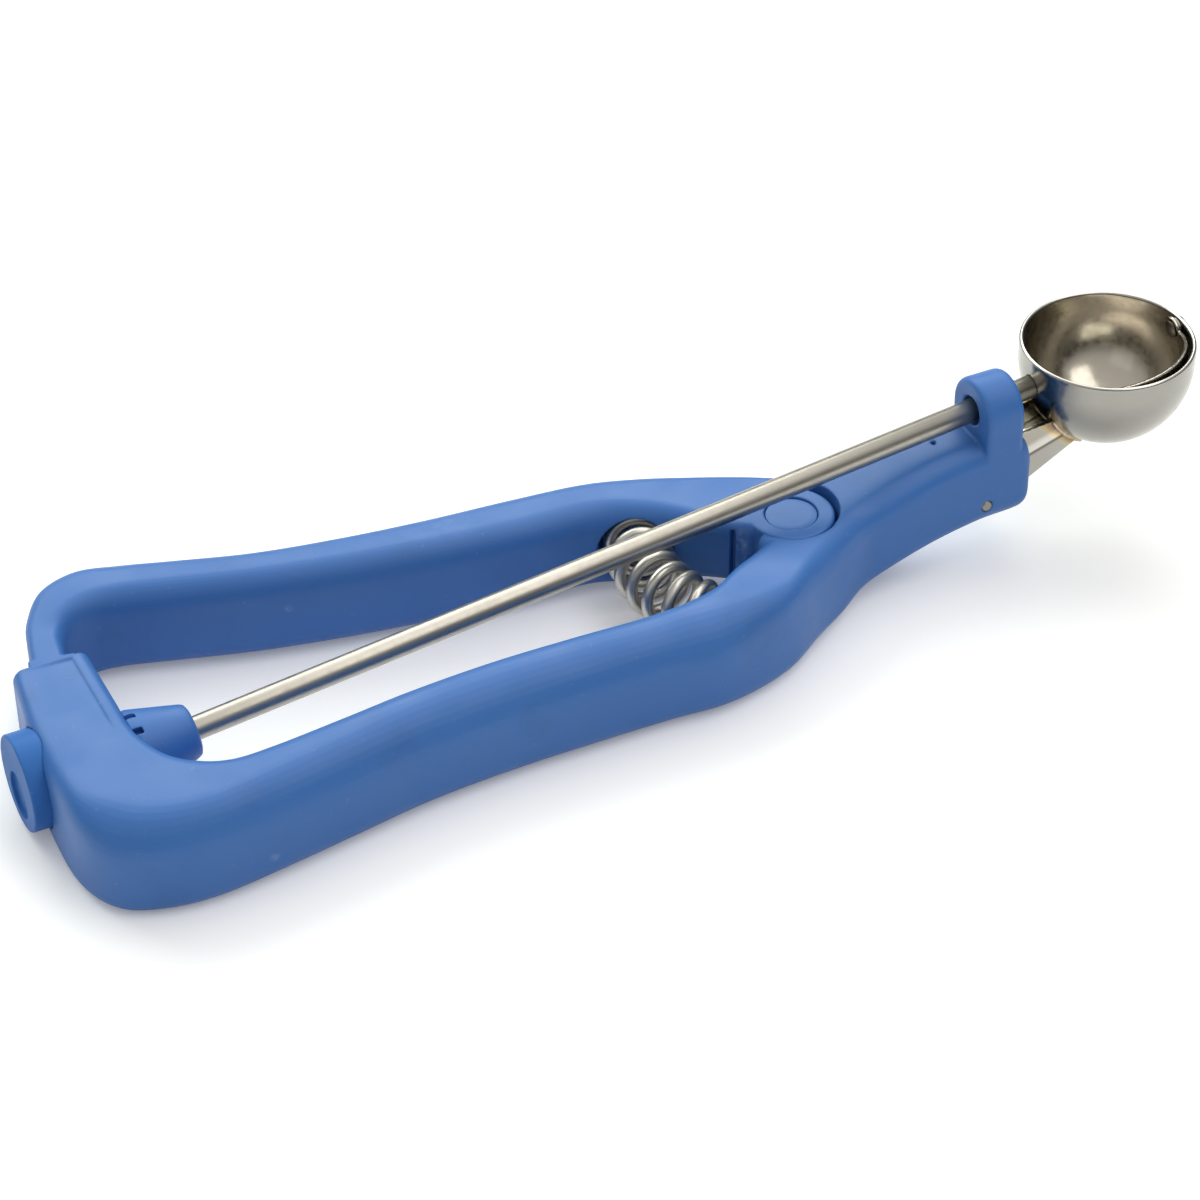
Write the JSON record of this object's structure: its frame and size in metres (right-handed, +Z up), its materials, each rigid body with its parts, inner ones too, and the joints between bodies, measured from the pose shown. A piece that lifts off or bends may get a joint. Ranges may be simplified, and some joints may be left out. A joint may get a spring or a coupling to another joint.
{
  "type": "lever ice cream scoop",
  "caption": "Ice cream scoop with a squeeze lever on a long flat handle, a geared drive rod and a curved wiper blade turning inside a small steel bowl.",
  "frame": {"origin": "on the flat underside of the handle, straight below the lever pivot axis", "axes": "+X toward the bowl, +Y toward the moving lever, +Z up, the bowl opening upward"},
  "size_m": [0.2384, 0.0787, 0.0378],
  "materials": {
    "handle_plastic": "satin moulded polypropylene with faint scuffs",
    "steel": "plain stainless steel",
    "brushed_rod": "drawn stainless rod, fine lengthwise grain",
    "bowl_steel": "polished stainless steel",
    "spring_steel": "bright spring wire",
    "weld": "weld bead with a straw heat tint"
  },
  "bodies": {
    "handle": {"fixed_handle": "handle_plastic", "pivot_pin": "steel", "pivot_washer": "steel", "return_spring": "spring_steel", "rod_bush": "handle_plastic", "end_plug": "handle_plastic", "bowl": "bowl_steel", "tang": "steel", "tang_weld": "weld", "tang_cross_pin": "steel", "front_pivot_rivet": "steel", "front_pivot_washer": "steel"},
    "lever": {"lever_handle": "handle_plastic", "pivot_cap": "handle_plastic"},
    "drive": {"drive_rod": "brushed_rod", "pinion": "steel", "scraper_blade": "bowl_steel", "rod_end_rivet": "steel"}
  },
  "joints": [
    {"name": "squeeze", "type": "hinge", "parent": "handle", "child": "lever", "pos_m": [0, 0, 0.018], "axis": [0, 0, 1], "range_deg": [0, 5], "stiffness_Nm_per_rad": 2.5, "springref_deg": -3.44, "deforming": ["return_spring"]},
    {"name": "blade_turn", "type": "hinge", "parent": "handle", "child": "drive", "pos_m": [0.0682, 0, 0.03374], "axis": [0.9934, 0, 0.1149], "range_deg": [0, 150]}
  ],
  "couplings": [
    {"joint": "blade_turn", "follows": "squeeze", "ratio": 30}
  ]
}
